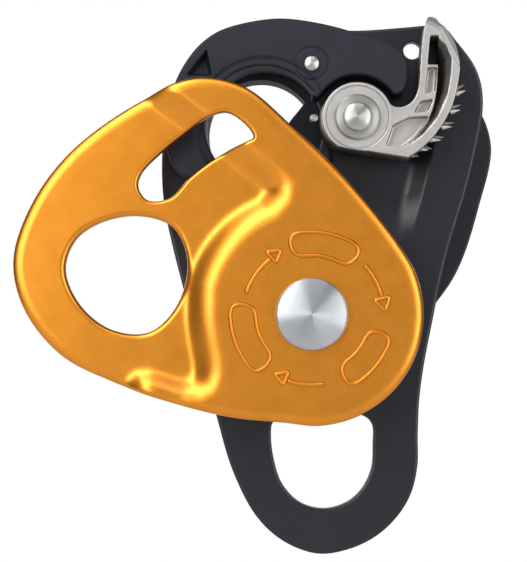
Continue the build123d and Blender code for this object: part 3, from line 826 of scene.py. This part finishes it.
def build_cam():
    """The casting: the CAD shape remeshed finely and softened, so that its edges are rounded. The outer
    wall of the trough leans, from the edge of the band down to the trough's floor."""
    source = frame["nodes"]["cam"]
    obj = bpy.data.objects.new("cam_casting", source.data.copy())
    bpy.context.scene.collection.objects.link(obj)
    remesh_finely(obj, 0)
    co = np.empty(len(obj.data.vertices) * 3)
    obj.data.vertices.foreach_get("co", co)
    co = co.reshape(-1, 3)
    flat = co[:, [0, 2]] * 1000 - (AXLE.x + CAM.x, AXLE.z + CAM.z)
    y = co[:, 1] * 1000
    near = np.flatnonzero((flat[:, 0] > 8) & (flat[:, 1] > -9) & (y < CAM_BACK - 1.25))
    trough = np.array(TROUGH_OUT + TROUGH_IN[1:-1])
    near = near[inside(flat[near], trough) | (distance(flat[near], trough) < 0.12)]
    to_band = np.min([distance(flat[near], np.array([a, b]))
                      for a, b in zip(TROUGH_OUT, TROUGH_OUT[1:])], axis=0)
    co[near, 1] = np.minimum(y[near], CAM_FACE + TROUGH_SLOPE * to_band) / 1000
    obj.data.vertices.foreach_set("co", co.ravel())
    remesh_finely(obj, CAST_SOFTENING)
    obj.data.polygons.foreach_set("use_smooth", [True] * len(obj.data.polygons))
    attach(obj, "cam")
    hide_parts("cam")
    paint(obj, CAST)


# ---------------------------------------------------------------- the CAD nodes that stay
def paint_nodes():
    finish = {"insert_rivet": TURNED_CAM, "axle_back_washer": TURNED, "cam_cover_disc": CAST,
              "cam_bush": BEARING, "cam_washer": TURNED_CAM, "cam_spring": SPRING, "cam_stop_pin": TURNED_CAM}
    for side in ("front", "back"):
        finish.update({f"{side}_inner_spacer": TURNED, f"{side}_outer_spacer": TURNED,
                       f"{side}_flange_washer": WHITE_NYLON, f"{side}_bearing_inner_ring": BEARING,
                       f"{side}_bearing_outer_ring": BEARING, f"{side}_bearing_balls": BEARING,
                       f"{side}_bearing_cage": SPRING, f"{side}_bearing_seals": RUBBER})
    for name, material in finish.items():
        paint(frame["nodes"][name], material)


# ---------------------------------------------------------------- stage, light and camera
LIGHT_GAP = 0.7                                                # metres from the object
FLOOR_DROP = 0.045                                             # metres below the object


def area_light(name, azimuth, elevation, size, radiance):
    """A soft light aimed at the middle of the object. Azimuth 0 is in front, and positive is to the right."""
    a, e = math.radians(azimuth), math.radians(elevation)
    way = Vector((math.sin(a) * math.cos(e), -math.cos(a) * math.cos(e), math.sin(e)))
    middle = (Vector(cad_box[0]) + Vector(cad_box[1])) / 2
    light = bpy.data.lights.new(name, "AREA")
    light.shape = "RECTANGLE"
    light.size, light.size_y = size
    light.energy = radiance * math.pi * size[0] * size[1]
    obj = bpy.data.objects.new(name, light)
    bpy.context.scene.collection.objects.link(obj)
    obj.location = middle + way * LIGHT_GAP
    obj.rotation_mode = "QUATERNION"
    obj.rotation_quaternion = (-way).to_track_quat("-Z", "Y")
    obj.visible_camera = False


def build_world():
    """White behind the object; reflections see a room that is pale in front and behind, dark at the sides."""
    world = bpy.data.worlds.new("studio")
    bpy.context.scene.world = world
    world.use_nodes = True
    tree = world.node_tree
    white = tree.nodes["Background"]
    white.inputs["Color"].default_value = (1, 1, 1, 1)
    room = tree.nodes.new("ShaderNodeBackground")
    room.inputs["Color"].default_value = (0.93, 0.96, 1.0, 1)
    coords = tree.nodes.new("ShaderNodeTexCoord")
    split = tree.nodes.new("ShaderNodeSeparateXYZ")
    tree.links.new(coords.outputs["Generated"], split.inputs[0])
    size = tree.nodes.new("ShaderNodeMath")
    size.operation = "ABSOLUTE"
    tree.links.new(split.outputs["Y"], size.inputs[0])
    fade = tree.nodes.new("ShaderNodeMapRange")
    fade.interpolation_type = "SMOOTHSTEP"
    fade.inputs["From Min"].default_value = 0.25
    fade.inputs["From Max"].default_value = 0.97
    fade.inputs["To Min"].default_value = 0.14
    fade.inputs["To Max"].default_value = 0.54
    tree.links.new(size.outputs[0], fade.inputs["Value"])
    tree.links.new(fade.outputs["Result"], room.inputs["Strength"])
    path = tree.nodes.new("ShaderNodeLightPath")
    mix = tree.nodes.new("ShaderNodeMixShader")
    tree.links.new(path.outputs["Is Camera Ray"], mix.inputs[0])
    tree.links.new(room.outputs[0], mix.inputs[1])
    tree.links.new(white.outputs[0], mix.inputs[2])
    tree.links.new(mix.outputs[0], tree.nodes["World Output"].inputs["Surface"])


def build_stage():
    low = cad_box[0][2] - FLOOR_DROP
    mesh = bpy.data.meshes.new("floor")
    mesh.from_pydata([(-0.4, -0.33, low), (0.4, -0.33, low), (0.4, 0.24, low), (-0.4, 0.24, low)], [],
                     [(0, 1, 2, 3)])
    floor = bpy.data.objects.new("floor", mesh)
    bpy.context.scene.collection.objects.link(floor)
    material, _, shader, _ = new_material("floor")
    shader.inputs["Base Color"].default_value = (0.85, 0.85, 0.85, 1)
    shader.inputs["Roughness"].default_value = 0.8
    paint(floor, material)
    area_light("left_soft", -31, 27, (0.30, 0.85), 5.0)
    area_light("right_soft", 40, 2, (0.20, 0.7), 5.2)
    area_light("top_soft", -8, 52, (0.7, 0.22), 2.2)
    area_light("back_left_soft", 215, 18, (0.30, 0.6), 2.4)
    area_light("back_right_soft", 140, 30, (0.20, 0.6), 2.0)


def build_camera():
    """Long lens in front of the cam side, a little below the middle of the object."""
    data = bpy.data.cameras.new("camera")
    data.lens = 111.8
    camera = bpy.data.objects.new("camera", data)
    bpy.context.scene.collection.objects.link(camera)
    camera.location = ((AXLE.x - 3.2) / 1000, -0.4165, (AXLE.z - 4.83) / 1000)
    camera.rotation_euler = (math.radians(90 + 1.79), 0, math.radians(1.125))
    bpy.context.scene.camera = camera
    bpy.context.scene.view_settings.view_transform = "Standard"


build_camera()
build_front_flange()
build_back_flange()
build_middle_plate()
build_front_insert()
build_back_insert()
build_axle()
build_cam_axle()
for side in ("front", "back"):
    build_sheave(side)
build_cam()
paint_nodes()
build_world()
build_stage()
